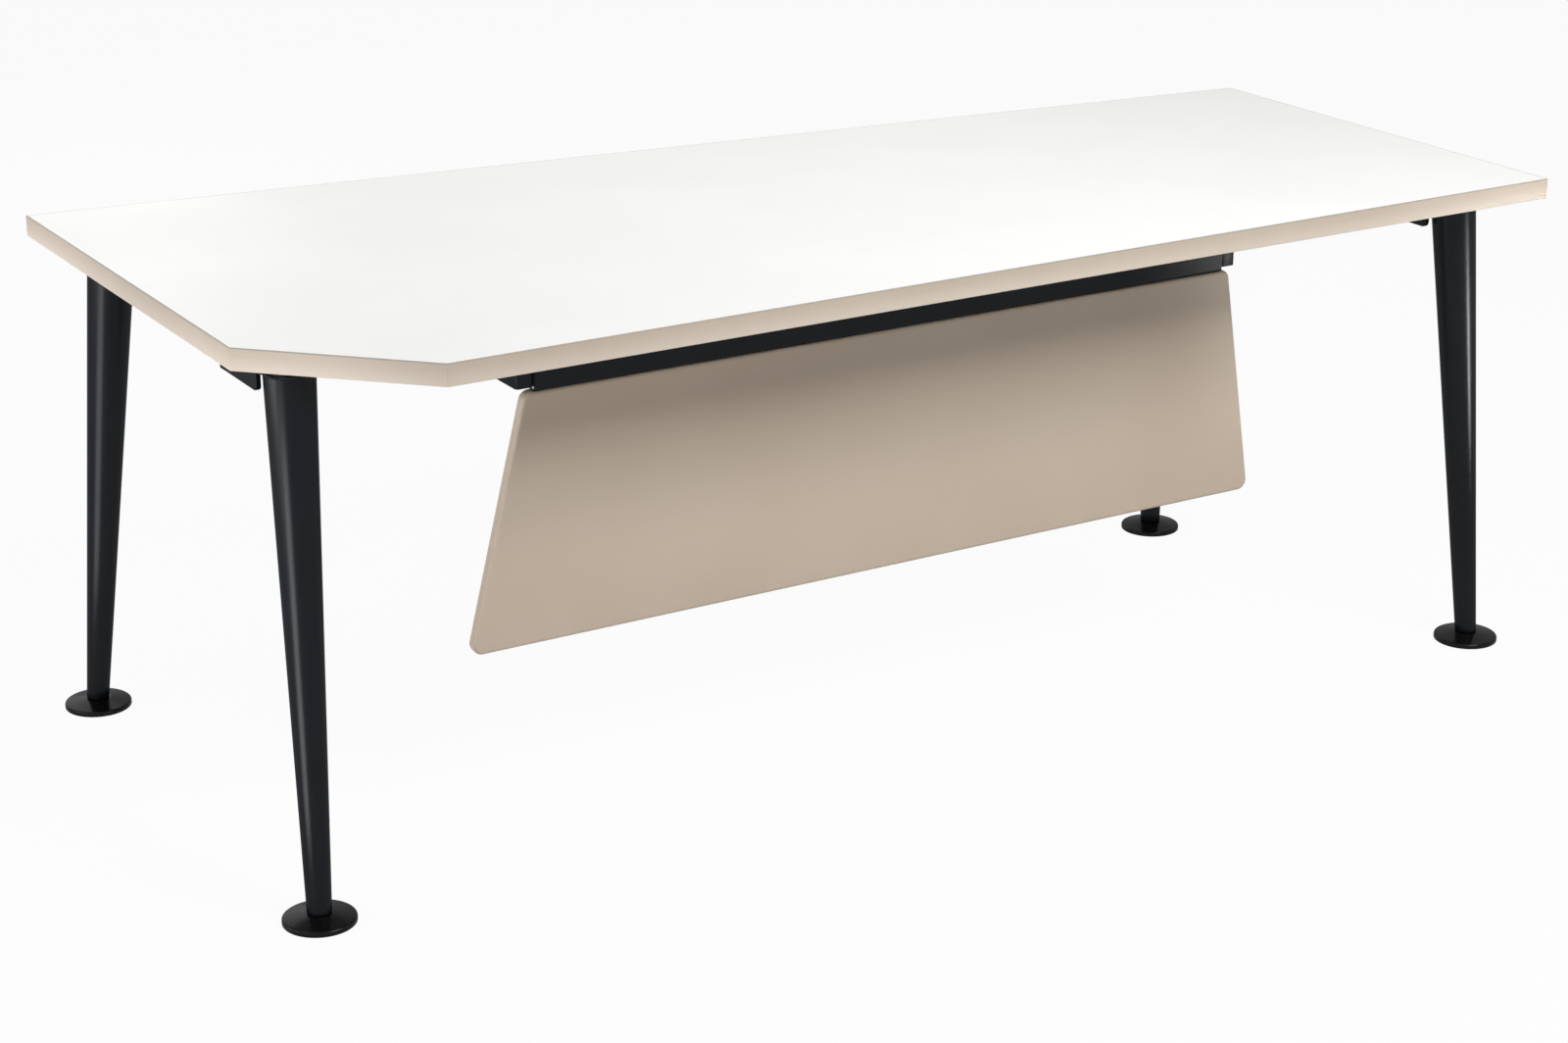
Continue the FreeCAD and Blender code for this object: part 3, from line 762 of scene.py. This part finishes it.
bracketSpots = [(head[0] + bracket["ways"][name] * aside, head[1] + bracket["ways"][name] * along, 0)
                for name, (foot, head) in leg["places"].items()
                for aside in bracket["screwsAside"] for along in bracket["screwsAlong"]]
flangeMiddle = hanger["inner"] + hanger["wide"] + hanger["flange"] / 2
hangerSpots = [(hanger["middle"] + side * flangeMiddle, hanger["front"] + hanger["deep"] / 2 + apart, 0)
               for side in (-1, 1) for apart in hanger["screwsApart"]]
for name, spots in (("bracket_screws", bracketSpots), ("hanger_screws", hangerSpots)):
    makePiece(name + "_set", [woodScrewGrid() + np.array(spot) for spot in spots], "plain_steel",
              "desk_frame", [name])

# socket bolts through the hangers into the rail: a head with a six-sided key hole, lying along the rail
railBolt = {"headR": 0.0065, "headTall": 0.0053, "headEdge": 0.0006, "shankR": 0.004, "bite": 0.023,
            "keyAcross": 0.005, "keyDeep": 0.003, "keyEdge": 0.0003, "keyMouth": 1.06, "reach": 0.5745,
            "railDeep": 0.030, "railTall": 0.040, "around": 48}


# rows from the key hole's end over the head to the shank's end, each a ring about the rail's middle line
def railBoltGrid(side):
    angle = roundAngles(railBolt["around"])
    key = hexagon(railBolt["keyAcross"], angle)
    top, across, edge = railBolt["headTall"], railBolt["headR"], railBolt["headEdge"]
    shankR, bite, keyEnd = railBolt["shankR"], railBolt["bite"], top - railBolt["keyDeep"]
    radius, far = ringRows([
        (0, keyEnd), (key, keyEnd), (key, top - railBolt["keyEdge"]), (railBolt["keyMouth"] * key, top),
        (across - edge, top), (across, top - edge), (across, 0), (shankR, 0), (shankR, -bite),
        (0, -bite)], angle)
    return leaning(side * (railBolt["reach"] + far), railBolt["railTall"] / 2 + radius * np.sin(angle),
                   railBolt["railDeep"] / 2 + radius * np.cos(angle))


makePiece("rail_bolts_set", [railBoltGrid(-1), railBoltGrid(1)], "plain_steel", "desk_frame", ["rail_bolts"])
print("fasteners made")


# floor: white to the eye and in reflections, but part of it is plain so that the shadow stays
ground = {"half": 30.0, "drop": 0.0002, "colour": tone(210, 210, 210), "shine": 0.95}
white = (1, 1, 1, 1)


# 1 for rays from the eye, off a shiny face or through glass, 0 for the rest
def seenRays(bench):
    straight, shiny, through = (bench.node("ShaderNodeLightPath", out=ray) for ray in (
        "Is Camera Ray", "Is Glossy Ray", "Is Transmission Ray"))
    return bench.node("ShaderNodeClamp", None, {0: straight + shiny + through})


def studioFloor():
    material, bench = newFinish("studioFloor")
    plain = bench.node("ShaderNodeBsdfDiffuse", None, {"Color": ground["colour"]})
    glow = bench.node("ShaderNodeEmission", None, {"Color": white, "Strength": 1.0})
    both = bench.node("ShaderNodeMixShader", None, {0: ground["shine"] * seenRays(bench), 1: plain, 2: glow})
    bench.node("ShaderNodeOutputMaterial", None, {"Surface": both})
    return material


mesh = bpy.data.meshes.new("floor")
corners = np.array(((-1, -1, 0), (1, -1, 0), (1, 1, 0), (-1, 1, 0))) * ground["half"]
corners[:, 2] -= ground["drop"]
mesh.from_pydata(corners.tolist(), [], [(0, 1, 2, 3)])
mesh.materials.append(studioFloor())
floor = bpy.data.objects.new("floor", mesh)
scene.collection.objects.link(floor)
print("floor laid")

# lamps: where each stands, what it looks at, its size, its glow and the angle of its grid; two narrow ones
# close by draw the streaks on the left legs, and fill and edge light the edging at that end
lamps = {"key": {"at": (0.75, -2.95, 3.2), "to": (0.1, -0.25, 0.4),
                 "size": (1.8, 1.4), "glow": 19.2, "grid": 180},
         "over": {"at": (-0.28, 0.4, 2.2), "to": (-0.28, 0.4, 0.0),
                  "size": (2.6, 1.1), "glow": 1.19, "grid": 180},
         "leftFront": {"at": (-1.4, -0.52, 0.29), "to": (-0.945, -0.345, 0.46),
                       "size": (0.24, 0.56), "glow": 11.2, "grid": 70},
         "leftBack": {"at": (-1.38, 0.2, 0.28), "to": (-0.94, 0.4, 0.45),
                      "size": (0.3, 0.54), "glow": 7.2, "grid": 70},
         "leftFill": {"at": (-2.3, -0.6, 0.6), "to": (-1.0, -0.1, 0.72),
                      "size": (1.2, 0.8), "glow": 1.2, "grid": 180},
         "leftEdge": {"at": (-2.4, 0.25, 0.58), "to": (-1.0, 0.1, 0.72),
                      "size": (1.3, 0.28), "glow": 10.5, "grid": 180},
         "rightFront": {"at": (1.43, -1.2, 0.26), "to": (0.97, -0.4, 0.54),
                        "size": (0.2, 0.28), "glow": 92.0, "grid": 28},
         "behind": {"at": (-0.8, 3.6, 1.9), "to": (-0.2, 0.2, 0.6),
                    "size": (3.0, 2.4), "glow": 1.5, "grid": 180}}
air = {"light": 0.04, "seen": 0.955}


# panel light aimed at a point, with a honeycomb grid that narrows its beam; its power is glow times pi
# times its area times the share of light that a grid of half angle a lets out, 1 - a / tan a
def hangLamp(name, setup):
    light = bpy.data.lights.new(name, "AREA")
    light.shape = "RECTANGLE"
    light.size, light.size_y = setup["size"]
    half = math.radians(setup["grid"]) / 2
    light.spread = 2 * half
    light.energy = setup["glow"] * math.pi * light.size * light.size_y * (1 - half / math.tan(half))
    lamp = bpy.data.objects.new(name, light)
    lamp.location = setup["at"]
    aim = Vector(setup["to"]) - Vector(setup["at"])
    lamp.rotation_euler = aim.to_track_quat("-Z", "Y").to_euler()
    lamp.visible_camera = False
    scene.collection.objects.link(lamp)


for name, setup in lamps.items():
    hangLamp(name, setup)
world = bpy.data.worlds.new("studio")
world.use_nodes = True
bench = Bench(world.node_tree)
around = bench.node("ShaderNodeBackground", None, {"Color": white, "Strength": air["light"]})
pale = bench.node("ShaderNodeBackground", None, {"Color": white, "Strength": air["seen"]})
sky = bench.node("ShaderNodeMixShader", None, {0: seenRays(bench), 1: around, 2: pale})
bench.node("ShaderNodeOutputWorld", None, {"Surface": sky})
scene.world = world
scene.view_settings.view_transform = "Standard"
print("lamps hung")

# camera: place in metres, turn in degrees, lens and sensor in millimetres
view = {"at": (-2.34285, -3.81835, 1.8620), "turn": (70.106, 0, -31.260), "lens": 72.799, "sensor": 36,
        "reach": 200}
lens = bpy.data.cameras.new("view")
lens.lens = view["lens"]
lens.sensor_width = view["sensor"]
lens.clip_end = view["reach"]
camera = bpy.data.objects.new("view", lens)
camera.location = view["at"]
camera.rotation_euler = [math.radians(t) for t in view["turn"]]
scene.collection.objects.link(camera)
scene.camera = camera
print("camera set")
